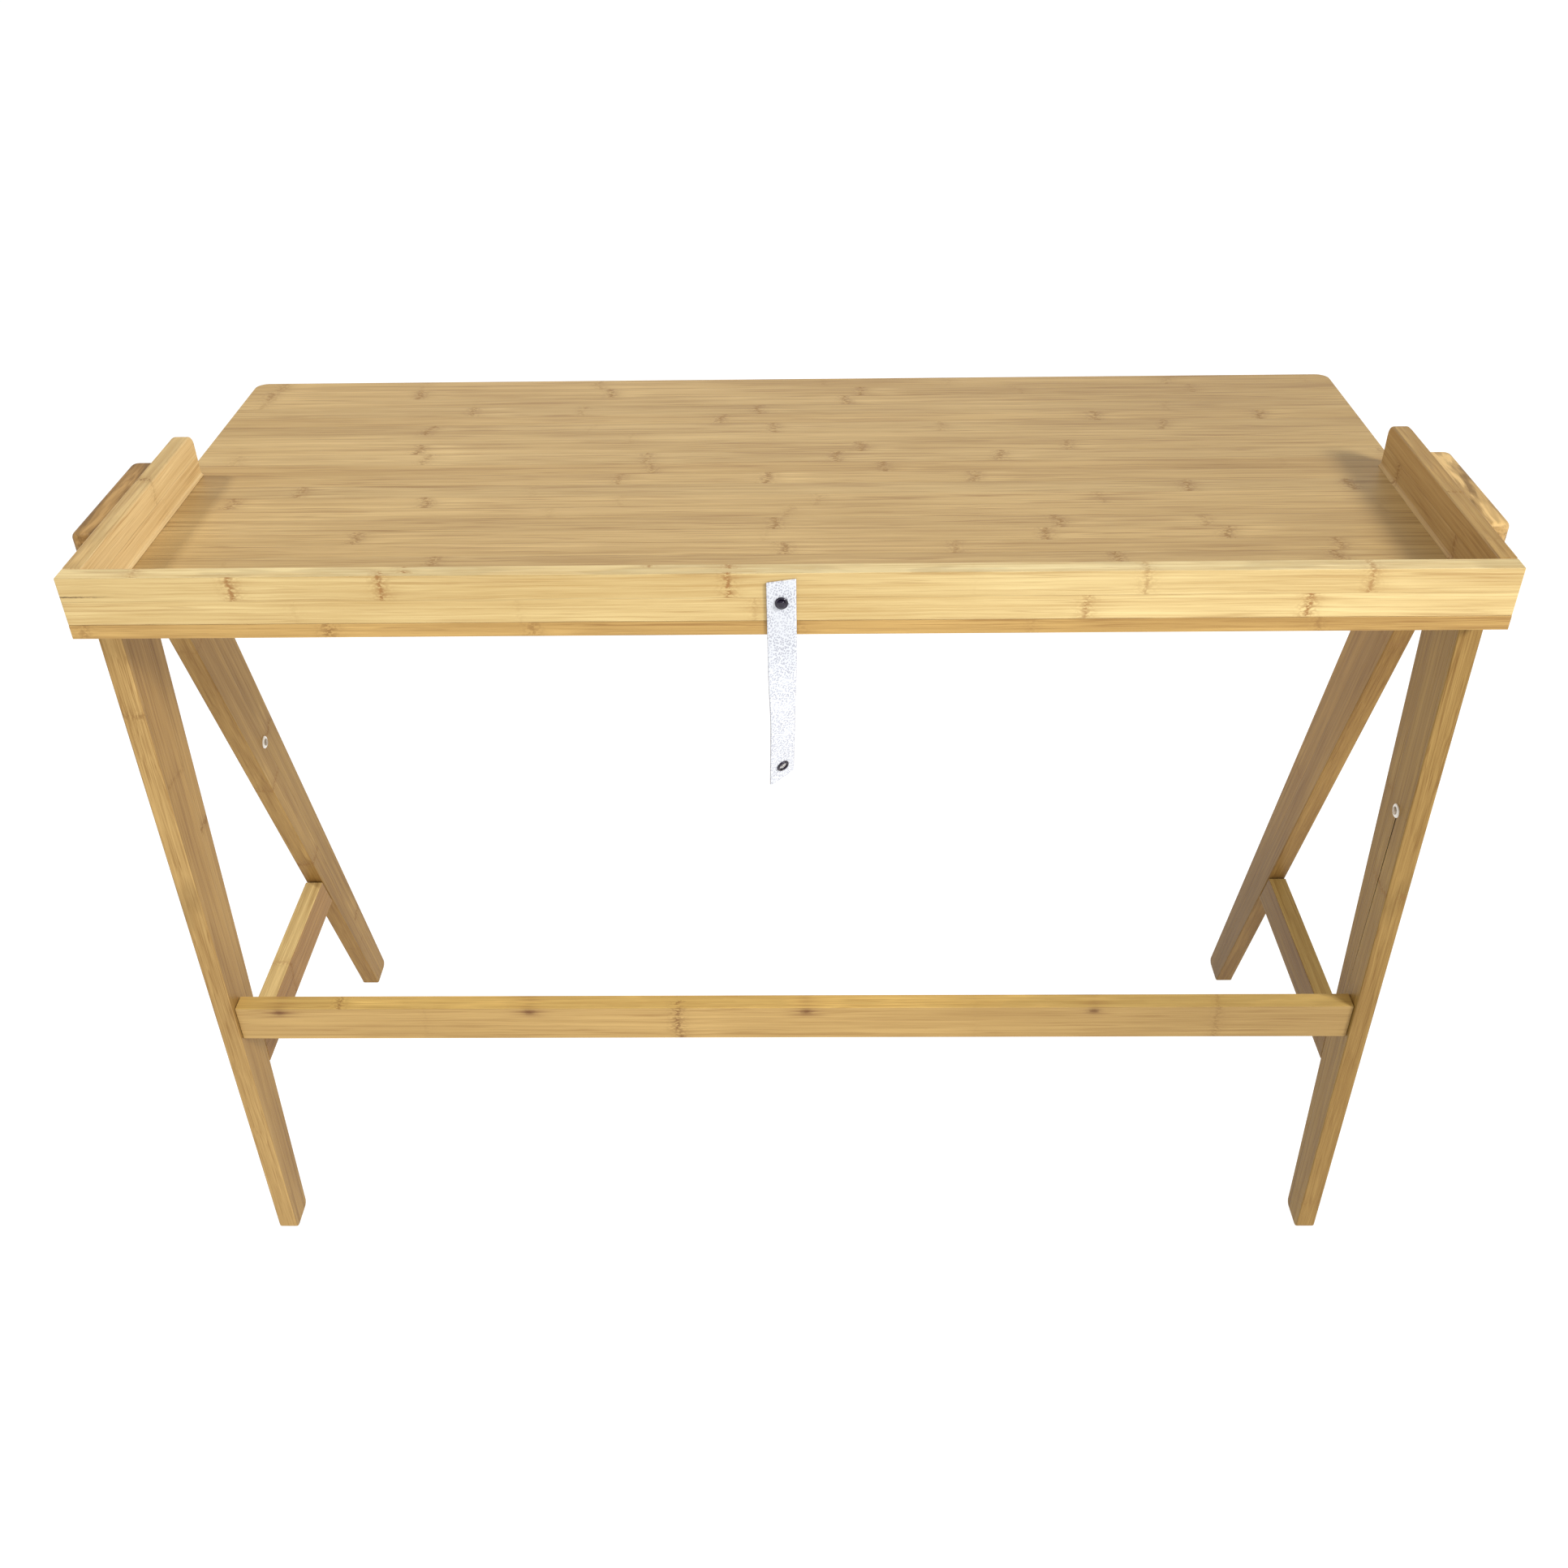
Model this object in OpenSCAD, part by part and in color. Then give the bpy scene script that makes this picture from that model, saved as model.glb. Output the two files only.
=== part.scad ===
// Folding tray table: a lift-off tray with two grips on a stand of one crossbar and two swinging side frames.
// Units are millimetres, +Z is up, the floor is Z = 0, +X runs along the long side of the tray.
// Y is written from the outer face of the tray's back rim and shifted so that the whole part is centred.

/* [Tray] */
// overall width of the tray over its side rails
tray_w = 1000; // [800:2:1200]
// depth of the tray panel
tray_d = 454; // [400:2:520]
// thickness of the panel
panel_t = 11; // [9:0.5:18]
// radius of the two open corners of the panel
panel_r = 11; // [2:1:30]
// thickness of the back rim board
rim_t = 14; // [10:0.5:20]
// height of rim and rails above the panel
rim_h = 37; // [25:1:60]
// thickness of the side rails
rail_t = 13; // [10:0.5:20]
// distance from the rim's outer face to the free end of a side rail
rail_end = 250; // [200:2:400]
// radius of the free top corner of a side rail
rail_r = 10; // [2:1:20]
// leg of the small bead at the foot of each rail, inside the tray
bead = 2.5; // [1:0.5:5]
// distance of the underside of the panel from the floor
top_z = 679; // [600:1:760]

/* [Grips] */
// length of a grip bar
grip_len = 130; // [100:2:180]
// how far a grip bar stands out from the rail
grip_w = 20.5; // [14:0.5:30]
// height of a grip bar
grip_h = 22; // [16:1:30]
// distance of the grip from the rim's outer face
grip_y = 74; // [50:1:110]
// how far the top of the grip lies below the top of the rail
grip_drop = 4; // [0:1:12]
// rounding of the grip's two outer corners
grip_r = 7; // [2:1:10]

/* [Strap] */
// width of the strap
strap_w = 20.6; // [15:0.2:30]
// thickness of the strap
strap_t = 1.6; // [1:0.1:3]
// centre of the strap along X
strap_x = -2; // [-20:1:20]
// height of the strap's upper end
strap_top = 722; // [700:1:726]
// height of the strap's lower tip
strap_tip = 549; // [500:1:620]
// height of the snap stud on the rim
stud_z = 705; // [690:1:715]
// height of the snap socket near the strap's tip
socket_z = 569; // [520:1:650]

/* [Stand] */
// thickness of all side frame boards
leg_t = 17; // [12:0.5:25]
// back leg: front edge at the floor
nf0 = 26; // [10:1:60]
// back leg: front edge at the top
nf1 = 33; // [10:1:60]
// back leg: rear edge at the floor
nr0 = 58; // [40:1:120]
// back leg: rear edge at the top
nr1 = 95.5; // [60:0.5:140]
// open side leg: front edge at the floor
ff0 = 368; // [280:1:420]
// open side leg: front edge where its line meets the panel
ff1 = 107; // [100:1:260]
// open side leg: rear edge at the floor
fr0 = 403; // [320:1:440]
// open side leg: rear edge where its line meets the panel
fr1 = 181; // [120:1:300]
// rounding of the foot corners
foot_r = 6; // [1:1:12]
// height of the brace's lower edge
brace_z = 188; // [120:1:300]
// height of the brace board
brace_h = 37; // [25:1:60]
// height of the top rail board
bearer_h = 38; // [25:1:50]
// distance of the top rail's free end from the rim's outer face
bearer_end = 410; // [300:2:440]
// gap between the stand's wood and the tray
top_gap = 1.3; // [1:0.1:4]
// height of the crossbar's lower edge
bar_z = 253; // [150:1:400]
// height of the crossbar
bar_h = 36; // [25:1:60]
// thickness of the crossbar
bar_t = 16; // [12:0.5:25]
// distance of the crossbar's outer face from the rim's outer face
bar_y = 32; // [20:1:60]

/* [Hinges] */
// distance of the hinge pin from both board faces
pin_off = 2.2; // [2:0.1:4]
// outer radius of the knuckle
knuckle_r = 1.9; // [1.5:0.1:3.5]
// radius of the hinge pin
pin_r = 0.9; // [0.7:0.1:1.5]
// thickness of a leaf
leaf_t = 1.2; // [1:0.1:2]
// width of a leaf from the pin
leaf_w = 10.5; // [9:0.5:16]
// height of the hinge
hinge_h = 22; // [18:1:34]
// running clearance of the pin in the moving knuckle
pin_clear = 0.05; // [0.02:0.01:0.1]

/* [Hidden] */
// node to draw
$fn = 48;
e = 0.01;
// how far the stud stands out in front of the rim
proud = 5;
// shift that centres the part's box in Y
y_off = -(tray_d - proud) / 2;
hw = tray_w / 2;
panel_z = top_z + panel_t;
rim_top = panel_z + rim_h;
grip_top = rim_top - grip_drop;
leg_x = hw - leg_t;
leg_mid = hw - leg_t / 2;
wood_top = top_z - top_gap;
pad_proud = 1;
bearer_z = wood_top - bearer_h;
bar_end = leg_x - 0.3;
bar_back = bar_y + bar_t;
pin_x = leg_x - pin_off;
pin_y = bar_back + pin_off;
hinge_z = bar_z + 1.5;
seg = hinge_h / 3;
seg_gap = 0.3;
leaf_screw_d = 2.5;
leaf_screw_off = 6.6;
rail_screw_y = [60, 140, 220];
rim_screw_x = [-400, -150, 150, 400];
rail_dowel_z = [panel_z + 11, panel_z + 26];
grip_dowel_y = [grip_y + 30, grip_y + grip_len - 30];
frame_dowel_r = 4;
brace_dowel_z = [brace_z + 10, brace_z + brace_h - 10];
bearer_dowel_z = [bearer_z + 10.5, bearer_z + bearer_h - 10.5];
pad_y = [150, 385];
pad_r = 6;
cleat_h = 12;
cleat_screws_at = [[462, 28], [462, 40], [490.5, 26.5]];
button_near = [53, 483];
button_far = [229, 435];
washer_r = 5.75;
wood = [0.83, 0.66, 0.40];
pale = [0.88, 0.74, 0.48];
dark = [0.62, 0.46, 0.26];
steel = [0.72, 0.72, 0.74];

// y of a sloping board edge at height z
function edge(a, b, z) = a + (b - a) * z / top_z;
// points of an arc
function arc(cx, cy, r, a0, a1, n) = [for (i = [0:n]) [cx + r * cos(a0 + (a1 - a0) * i / n), cy + r * sin(a0 + (a1 - a0) * i / n)]];

// a board drawn as a YZ outline between two X faces
module board(x0, x1, pts) {
  translate([x0, y_off, 0])
    rotate([90, 0, 90])
      linear_extrude(height = x1 - x0)
        polygon(pts);
}

// a rod along X, Y or Z from a point
module rod_x(x0, y, z, r, l) {
  translate([x0, y_off + y, z])
    rotate([0, 90, 0])
      cylinder(r = r, h = l);
}

module rod_y(x, y0, z, r, l) {
  translate([x, y_off + y0, z])
    rotate([-90, 0, 0])
      cylinder(r = r, h = l);
}

module rod_z(x, y, z0, r, l) {
  translate([x, y_off + y, z0])
    cylinder(r = r, h = l);
}

// a countersunk screw or its hole, head at the origin, pointing to +Z; grow widens it
module csk(d, head_d, l, grow) {
  cylinder(r1 = head_d / 2 + grow, r2 = d / 2 + grow, h = (head_d - d) / 2);
  cylinder(r = d / 2 + grow, h = l + grow);
}

module csk_screw(d, head_d, l) {
  difference() {
    csk(d, head_d, l, 0);
    translate([-head_d * 0.28, -0.4, -e])
      cube([head_d * 0.56, 0.8, 0.9]);
    translate([-0.4, -head_d * 0.28, -e])
      cube([0.8, head_d * 0.56, 0.9]);
  }
}

// ---------- tray ----------

module rim_screw_spots() {
  for (x = rim_screw_x)
    translate([x, y_off + rim_t / 2, top_z])
      children();
}

module rail_screw_spots() {
  for (y = rail_screw_y)
    translate([hw - rail_t / 2, y_off + y, top_z])
      children();
}

module cleat_screw_spots() {
  for (p = cleat_screws_at)
    translate([p[0], y_off + p[1], top_z - cleat_h])
      children();
}

module tabletop_panel() {
  color(wood)
    difference() {
      translate([0, y_off, top_z])
        linear_extrude(height = panel_t)
          polygon(concat(
            [[-hw, 0], [hw, 0]],
            arc(hw - panel_r, tray_d - panel_r, panel_r, 0, 90, 8),
            arc(-hw + panel_r, tray_d - panel_r, panel_r, 90, 180, 8)));
      rim_screw_spots()
        translate([0, 0, -e])
          csk(4, 8, panel_t + 1, 0.05);
      rail_screw_spots()
        translate([0, 0, -e])
          csk(4, 8, panel_t + 1, 0.05);
      mirror([1, 0, 0])
        rail_screw_spots()
          translate([0, 0, -e])
            csk(4, 8, panel_t + 1, 0.05);
      for (s = [0, 1])
        mirror([s, 0, 0])
          cleat_screw_spots()
            translate([0, 0, cleat_h - e])
              cylinder(r = 1.8, h = 6.1);
    }
}

module back_rim() {
  color(pale)
    difference() {
      board(-hw, hw, [[0, panel_z], [rim_t, panel_z], [rim_t, rim_top], [0, rim_top]]);
      rim_screw_spots()
        translate([0, 0, panel_t - e])
          cylinder(r = 2.05, h = 24.1);
      for (s = [-1, 1])
        for (z = rail_dowel_z)
          rod_y(s * (hw - rail_t / 2), rim_t - 8, z, 3.05, 8.1);
      rod_y(strap_x, -e, stud_z, 1.55, 10.2);
    }
}

module right_side_rail() {
  color(pale)
    difference() {
      union() {
        board(hw - rail_t, hw, concat(
          [[rim_t, panel_z], [rail_end, panel_z]],
          arc(rail_end - rail_r, rim_top - rail_r, rail_r, 0, 90, 8),
          [[rim_t, rim_top]]));
        translate([hw - rail_t + e, y_off + rail_end, panel_z])
          rotate([90, 0, 0])
            linear_extrude(height = rail_end - rim_t)
              polygon([[0, 0], [0, bead], [-bead, 0]]);
      }
      rail_screw_spots()
        translate([0, 0, panel_t - e])
          cylinder(r = 2.05, h = 24.1);
      for (z = rail_dowel_z)
        rod_y(hw - rail_t / 2, rim_t - e, z, 3.05, 22.1);
      for (y = grip_dowel_y)
        rod_x(hw - 8, y, grip_top - grip_h / 2, 4.05, 8.1);
    }
}

module right_grip_bar() {
  color(dark)
    difference() {
      translate([hw, y_off + grip_y, grip_top - grip_h])
        linear_extrude(height = grip_h)
          polygon(concat(
            [[0, grip_len], [0, 0]],
            arc(grip_w - grip_r, grip_r, grip_r, -90, 0, 8),
            arc(grip_w - grip_r, grip_len - grip_r, grip_r, 0, 90, 8)));
      for (y = grip_dowel_y)
        rod_x(hw - e, y, grip_top - grip_h / 2, 4.05, 12.1);
    }
}

module left_side_rail() {
  mirror([1, 0, 0])
    right_side_rail();
}

module left_grip_bar() {
  mirror([1, 0, 0])
    right_grip_bar();
}

module rim_screws() {
  color(steel)
    rim_screw_spots()
      csk_screw(4, 8, panel_t + 24);
}

module right_rail_screws() {
  color(steel)
    rail_screw_spots()
      csk_screw(4, 8, panel_t + 24);
}

module left_rail_screws() {
  mirror([1, 0, 0])
    right_rail_screws();
}

module rim_corner_dowels() {
  color(wood)
    for (s = [-1, 1])
      for (z = rail_dowel_z)
        rod_y(s * (hw - rail_t / 2), rim_t - 8, z, 3, 30);
}

module grip_dowels() {
  color(wood)
    for (s = [0, 1])
      mirror([s, 0, 0])
        for (y = grip_dowel_y)
          rod_x(hw - 8, y, grip_top - grip_h / 2, 4, 20);
}

module right_corner_cleat() {
  color(wood)
    difference() {
      translate([450, y_off + 22, top_z - cleat_h])
        cube([leg_x - 0.7 - 450, 25, cleat_h]);
      cleat_screw_spots()
        translate([0, 0, -e])
          csk(3.5, 7, 18, 0.05);
    }
}

module left_corner_cleat() {
  mirror([1, 0, 0])
    right_corner_cleat();
}

// small stop block in front of a back leg's top
module right_stop_block() {
  color(wood)
    difference() {
      translate([leg_x - 0.7, y_off + 22, top_z - cleat_h])
        cube([hw - 2 - leg_x + 0.7, 9, cleat_h]);
      cleat_screw_spots()
        translate([0, 0, -e])
          csk(3.5, 7, 18, 0.05);
    }
}

module left_stop_block() {
  mirror([1, 0, 0])
    right_stop_block();
}

module cleat_screws() {
  color(steel)
    for (s = [0, 1])
      mirror([s, 0, 0])
        cleat_screw_spots()
          csk_screw(3.5, 7, 17.8);
}

module strap() {
  xl = strap_x - strap_w / 2;
  xr = strap_x + strap_w / 2;
  color([0.93, 0.93, 0.95])
    difference() {
      translate([0, y_off - 0.2, 0])
        rotate([90, 0, 0])
          linear_extrude(height = strap_t)
            polygon([[xl, strap_tip], [xr, strap_tip + 10], [xr, strap_top], [xl, strap_top - 3.4]]);
      rod_y(strap_x, -3, stud_z, 1.6, 4);
      rod_y(strap_x, -3, socket_z, 1.9, 4);
    }
}

// base flange, waist and mushroom head of the stud, with its screw thread into the rim
module snap_stud() {
  color([0.10, 0.09, 0.11])
    translate([strap_x, y_off, stud_z])
      rotate([90, 0, 0])
        rotate_extrude()
          polygon([[0, -10], [1.5, -10], [1.5, 1.8], [4.6, 1.8], [4.6, 2.5], [4.1, 2.9], [2.3, 2.9], [2.3, 3.5],
            [2.9, 3.9], [2.9, 4.4], [2.1, 5], [0, 5]]);
}

// ring with a blind socket that faces away from the rim
module snap_socket() {
  color([0.12, 0.12, 0.14])
    translate([strap_x, y_off, socket_z])
      rotate([90, 0, 0])
        rotate_extrude()
          polygon([[2.9, 1.8], [4.9, 1.8], [4.9, 2.5], [4.3, 3.1], [3.2, 3.1], [2.9, 2.9]]);
}

// light cap on the strap's rear face with a hollow rivet through the strap
module snap_cap() {
  color([0.80, 0.80, 0.80])
    translate([strap_x, y_off, socket_z])
      rotate([90, 0, 0])
        rotate_extrude()
          polygon([[0, -1.4], [4.4, -0.9], [4.9, -0.4], [4.9, 0.2], [1.85, 0.2], [1.85, 1.8], [2.8, 1.8], [2.8, 2.1],
            [1.4, 2.1], [1.4, 1], [0, 1]]);
}

// ---------- stand ----------

module bar_leaf_screw_spots() {
  for (z = [hinge_z + 4.6, hinge_z + hinge_h - 4.6])
    translate([pin_x - leaf_screw_off, y_off + bar_back + leaf_t, z])
      rotate([90, 0, 0])
        children();
}

module leg_leaf_screw_spots() {
  for (z = [hinge_z + 4.6, hinge_z + hinge_h - 4.6])
    translate([leg_x - leaf_t, y_off + pin_y + leaf_screw_off, z])
      rotate([0, 90, 0])
        children();
}

module crossbar() {
  color(wood)
    difference() {
      board(-bar_end, bar_end, [[bar_y, bar_z], [bar_back, bar_z], [bar_back, bar_z + bar_h], [bar_y, bar_z + bar_h]]);
      for (s = [0, 1])
        mirror([s, 0, 0])
          bar_leaf_screw_spots()
            translate([0, 0, leaf_t - e])
              cylinder(r = leaf_screw_d / 2 + 0.03, h = 10.9);
    }
}

module knuckle(z0, l, bore) {
  difference() {
    rod_z(pin_x, pin_y, z0, knuckle_r, l);
    rod_z(pin_x, pin_y, z0 - 1, bore, l + 2);
  }
}

module right_bar_leaf() {
  color(steel)
    difference() {
      union() {
        translate([pin_x - leaf_w, y_off + bar_back, hinge_z])
          cube([leaf_w - pin_off, leaf_t, hinge_h]);
        for (z0 = [hinge_z, hinge_z + 2 * seg + seg_gap / 2])
          union() {
            translate([pin_x - pin_off - e, y_off + bar_back + 0.3, z0])
              cube([pin_off + e, leaf_t - 0.3, seg - seg_gap / 2]);
            rod_z(pin_x, pin_y, z0, knuckle_r, seg - seg_gap / 2);
          }
      }
      rod_z(pin_x, pin_y, hinge_z - 1, pin_r + 0.01, hinge_h + 2);
      bar_leaf_screw_spots()
        csk(leaf_screw_d, 4.6, 4, 0.03);
    }
}

module left_bar_leaf() {
  mirror([1, 0, 0])
    right_bar_leaf();
}

module right_hinge_pin() {
  color(steel)
    union() {
      rod_z(pin_x, pin_y, hinge_z - 0.6, pin_r, hinge_h + 1.2);
      rod_z(pin_x, pin_y, hinge_z - 0.8, 1.5, 0.8);
      rod_z(pin_x, pin_y, hinge_z + hinge_h, 1.5, 0.8);
    }
}

module left_hinge_pin() {
  mirror([1, 0, 0])
    right_hinge_pin();
}

module bar_leaf_screws() {
  color(steel)
    for (s = [0, 1])
      mirror([s, 0, 0])
        bar_leaf_screw_spots()
          csk_screw(leaf_screw_d, 4.6, 12);
}

// ---------- side frames ----------

module right_back_leg() {
  y0 = edge(nf0, nf1, 0);
  y1 = edge(nr0, nr1, 0);
  color(wood)
    difference() {
      board(leg_x, hw, concat(
        arc(y0 + foot_r, foot_r, foot_r, 180, 270, 5),
        arc(y1 - foot_r, foot_r, foot_r, 270, 360, 5),
        [[edge(nr0, nr1, wood_top), wood_top], [edge(nf0, nf1, wood_top), wood_top]]));
      for (z = brace_dowel_z)
        rod_y(leg_mid, edge(nr0, nr1, brace_z) - 22, z, frame_dowel_r + 0.05, 30);
      for (z = bearer_dowel_z)
        rod_y(leg_mid, edge(nr0, nr1, bearer_z) - 22, z, frame_dowel_r + 0.05, 30);
      leg_leaf_screw_spots()
        translate([0, 0, leaf_t - e])
          cylinder(r = leaf_screw_d / 2 + 0.03, h = 10.9);
      rod_x(leg_x - e, button_near[0], button_near[1], 2.05, 12.1);
    }
}

module left_back_leg() {
  y0 = edge(nf0, nf1, 0);
  y1 = edge(nr0, nr1, 0);
  mirror([1, 0, 0])
    color(wood)
      difference() {
        board(leg_x, hw, concat(
          arc(y0 + foot_r, foot_r, foot_r, 180, 270, 5),
          arc(y1 - foot_r, foot_r, foot_r, 270, 360, 5),
          [[edge(nr0, nr1, wood_top), wood_top], [edge(nf0, nf1, wood_top), wood_top]]));
        for (z = brace_dowel_z)
          rod_y(leg_mid, edge(nr0, nr1, brace_z) - 22, z, frame_dowel_r + 0.05, 30);
        for (z = bearer_dowel_z)
          rod_y(leg_mid, edge(nr0, nr1, bearer_z) - 22, z, frame_dowel_r + 0.05, 30);
        leg_leaf_screw_spots()
          translate([0, 0, leaf_t - e])
            cylinder(r = leaf_screw_d / 2 + 0.03, h = 10.9);
      }
}

module front_leg_blank() {
  difference() {
    board(leg_x, hw, concat(
      arc(ff0 + foot_r, foot_r, foot_r, 180, 270, 5),
      arc(fr0 - foot_r, foot_r, foot_r, 270, 360, 5),
      [[edge(fr0, fr1, bearer_z), bearer_z], [edge(ff0, ff1, bearer_z), bearer_z]]));
    for (z = brace_dowel_z)
      rod_y(leg_mid, edge(ff0, ff1, z) - 15, z, frame_dowel_r + 0.05, 35);
    for (y = [edge(ff0, ff1, bearer_z) + 22, edge(fr0, fr1, bearer_z) - 22])
      rod_z(leg_mid, y, bearer_z - 22, frame_dowel_r + 0.05, 22.1);
  }
}

module right_front_leg() {
  color(wood)
    front_leg_blank();
}

module left_front_leg() {
  mirror([1, 0, 0])
    color(wood)
      difference() {
        front_leg_blank();
        rod_x(leg_x - e, button_far[0], button_far[1], 2.05, 12.1);
      }
}

module right_brace() {
  z1 = brace_z + brace_h;
  color(wood)
    difference() {
      board(leg_x, hw, [[edge(nr0, nr1, brace_z), brace_z], [edge(ff0, ff1, brace_z), brace_z],
        [edge(ff0, ff1, z1), z1], [edge(nr0, nr1, z1), z1]]);
      for (z = brace_dowel_z) {
        rod_y(leg_mid, edge(nr0, nr1, z) - 5, z, frame_dowel_r + 0.05, 25.1);
        rod_y(leg_mid, edge(ff0, ff1, z) - 20.1, z, frame_dowel_r + 0.05, 40);
      }
    }
}

module left_brace() {
  mirror([1, 0, 0])
    right_brace();
}

module right_top_rail() {
  color(wood)
    difference() {
      board(leg_x, hw, concat(
        [[edge(nr0, nr1, bearer_z), bearer_z]],
        arc(bearer_end - 6, bearer_z + 6, 6, 270, 360, 5),
        arc(bearer_end - 6, wood_top - 6, 6, 0, 90, 5),
        [[edge(nr0, nr1, wood_top), wood_top]]));
      for (z = bearer_dowel_z)
        rod_y(leg_mid, edge(nr0, nr1, z) - 5, z, frame_dowel_r + 0.05, 25.1);
      for (y = [edge(ff0, ff1, bearer_z) + 22, edge(fr0, fr1, bearer_z) - 22])
        rod_z(leg_mid, y, bearer_z - e, frame_dowel_r + 0.05, 20.1);
      for (y = pad_y)
        rod_z(leg_mid, y, wood_top - 1.5, pad_r + 0.05, 3);
    }
}

module left_top_rail() {
  mirror([1, 0, 0])
    right_top_rail();
}

module right_frame_dowels() {
  color(wood) {
    for (z = brace_dowel_z) {
      rod_y(leg_mid, edge(nr0, nr1, z) - 20, z, frame_dowel_r, 40);
      rod_y(leg_mid, edge(ff0, ff1, z) - 20, z, frame_dowel_r, 38);
    }
    for (z = bearer_dowel_z)
      rod_y(leg_mid, edge(nr0, nr1, z) - 20, z, frame_dowel_r, 40);
    for (y = [edge(ff0, ff1, bearer_z) + 22, edge(fr0, fr1, bearer_z) - 22])
      rod_z(leg_mid, y, bearer_z - 20, frame_dowel_r, 40);
  }
}

module left_frame_dowels() {
  mirror([1, 0, 0])
    right_frame_dowels();
}

module right_leg_leaf() {
  zm = hinge_z + seg + seg_gap / 2;
  lm = seg - seg_gap / 2;
  color(steel)
    difference() {
      union() {
        translate([leg_x - leaf_t, y_off + pin_y + pin_off, hinge_z])
          cube([leaf_t, leaf_w - pin_off, hinge_h]);
        translate([leg_x - leaf_t, y_off + pin_y, zm])
          cube([leaf_t - 0.3, pin_off + e, lm]);
        rod_z(pin_x, pin_y, zm, knuckle_r, lm);
      }
      rod_z(pin_x, pin_y, hinge_z - 1, pin_r + pin_clear, hinge_h + 2);
      leg_leaf_screw_spots()
        csk(leaf_screw_d, 4.6, 4, 0.03);
    }
}

module left_leg_leaf() {
  mirror([1, 0, 0])
    right_leg_leaf();
}

module right_leaf_screws() {
  color(steel)
    leg_leaf_screw_spots()
      csk_screw(leaf_screw_d, 4.6, 12);
}

module left_leaf_screws() {
  mirror([1, 0, 0])
    right_leaf_screws();
}

module right_rest_pads() {
  color([0.20, 0.20, 0.20])
    for (y = pad_y)
      rod_z(leg_mid, y, wood_top - 1.5, pad_r, 1.5 + pad_proud);
}

module left_rest_pads() {
  mirror([1, 0, 0])
    right_rest_pads();
}

// a flat washer under a small pan head screw, standing on a leg's inner face
module washer_at(y, z) {
  color([0.90, 0.87, 0.80])
    translate([leg_x, y_off + y, z])
      rotate([0, -90, 0])
        rotate_extrude()
          polygon([[2.1, 0], [washer_r, 0], [washer_r, 0.7], [washer_r - 0.5, 1.2], [2.1, 1.2]]);
}

module button_screw_at(y, z) {
  color([0.30, 0.28, 0.26])
    translate([leg_x, y_off + y, z])
      rotate([0, -90, 0])
        rotate_extrude()
          polygon([[0, -12], [2, -12], [2, 1.2], [3.2, 1.2], [3.2, 1.9], [2.4, 2.5], [0, 2.7]]);
}

module right_button_washer() {
  washer_at(button_near[0], button_near[1]);
}

module right_button_screw() {
  button_screw_at(button_near[0], button_near[1]);
}

module left_button_washer() {
  mirror([1, 0, 0])
    washer_at(button_far[0], button_far[1]);
}

module left_button_screw() {
  mirror([1, 0, 0])
    button_screw_at(button_far[0], button_far[1]);
}

tabletop_panel();
back_rim();
right_side_rail();
left_side_rail();
right_grip_bar();
left_grip_bar();
rim_screws();
right_rail_screws();
left_rail_screws();
rim_corner_dowels();
grip_dowels();
right_corner_cleat();
left_corner_cleat();
right_stop_block();
left_stop_block();
cleat_screws();
strap();
snap_stud();
snap_socket();
snap_cap();
crossbar();
right_bar_leaf();
left_bar_leaf();
right_hinge_pin();
left_hinge_pin();
bar_leaf_screws();
right_back_leg();
right_front_leg();
right_brace();
right_top_rail();
right_frame_dowels();
right_leg_leaf();
right_leaf_screws();
right_rest_pads();
right_button_washer();
right_button_screw();
left_back_leg();
left_front_leg();
left_brace();
left_top_rail();
left_frame_dowels();
left_leg_leaf();
left_leaf_screws();
left_rest_pads();
left_button_washer();
left_button_screw();
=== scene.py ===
"""Looks for the folding tray table: laminated bamboo boards, a white strap with a black snap, a studio.

Lengths are in metres. The table's back, with the rim and the strap, faces -Y and the camera, so the nodes
called back legs are the legs near the camera and those called front legs are the far ones.
"""

import math

import bmesh
import bpy
from mathutils import Matrix, Vector


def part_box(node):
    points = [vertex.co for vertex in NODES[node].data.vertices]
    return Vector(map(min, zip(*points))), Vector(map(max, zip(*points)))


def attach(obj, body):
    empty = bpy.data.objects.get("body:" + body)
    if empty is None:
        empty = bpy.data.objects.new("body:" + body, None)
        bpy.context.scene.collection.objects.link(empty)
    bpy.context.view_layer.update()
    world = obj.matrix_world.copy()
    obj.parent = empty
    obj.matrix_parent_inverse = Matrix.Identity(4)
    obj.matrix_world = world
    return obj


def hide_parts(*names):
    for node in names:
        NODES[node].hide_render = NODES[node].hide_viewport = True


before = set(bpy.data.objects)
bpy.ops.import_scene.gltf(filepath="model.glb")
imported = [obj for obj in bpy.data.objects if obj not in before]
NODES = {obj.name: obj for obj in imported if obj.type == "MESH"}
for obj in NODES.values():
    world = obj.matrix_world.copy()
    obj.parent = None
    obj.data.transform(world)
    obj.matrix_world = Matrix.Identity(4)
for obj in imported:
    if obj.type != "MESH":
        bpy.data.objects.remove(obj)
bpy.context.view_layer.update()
X, Y, Z = (1.0, 0.0, 0.0), (0.0, 1.0, 0.0), (0.0, 0.0, 1.0)

# ---------------------------------------------------------------- node helpers


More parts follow.
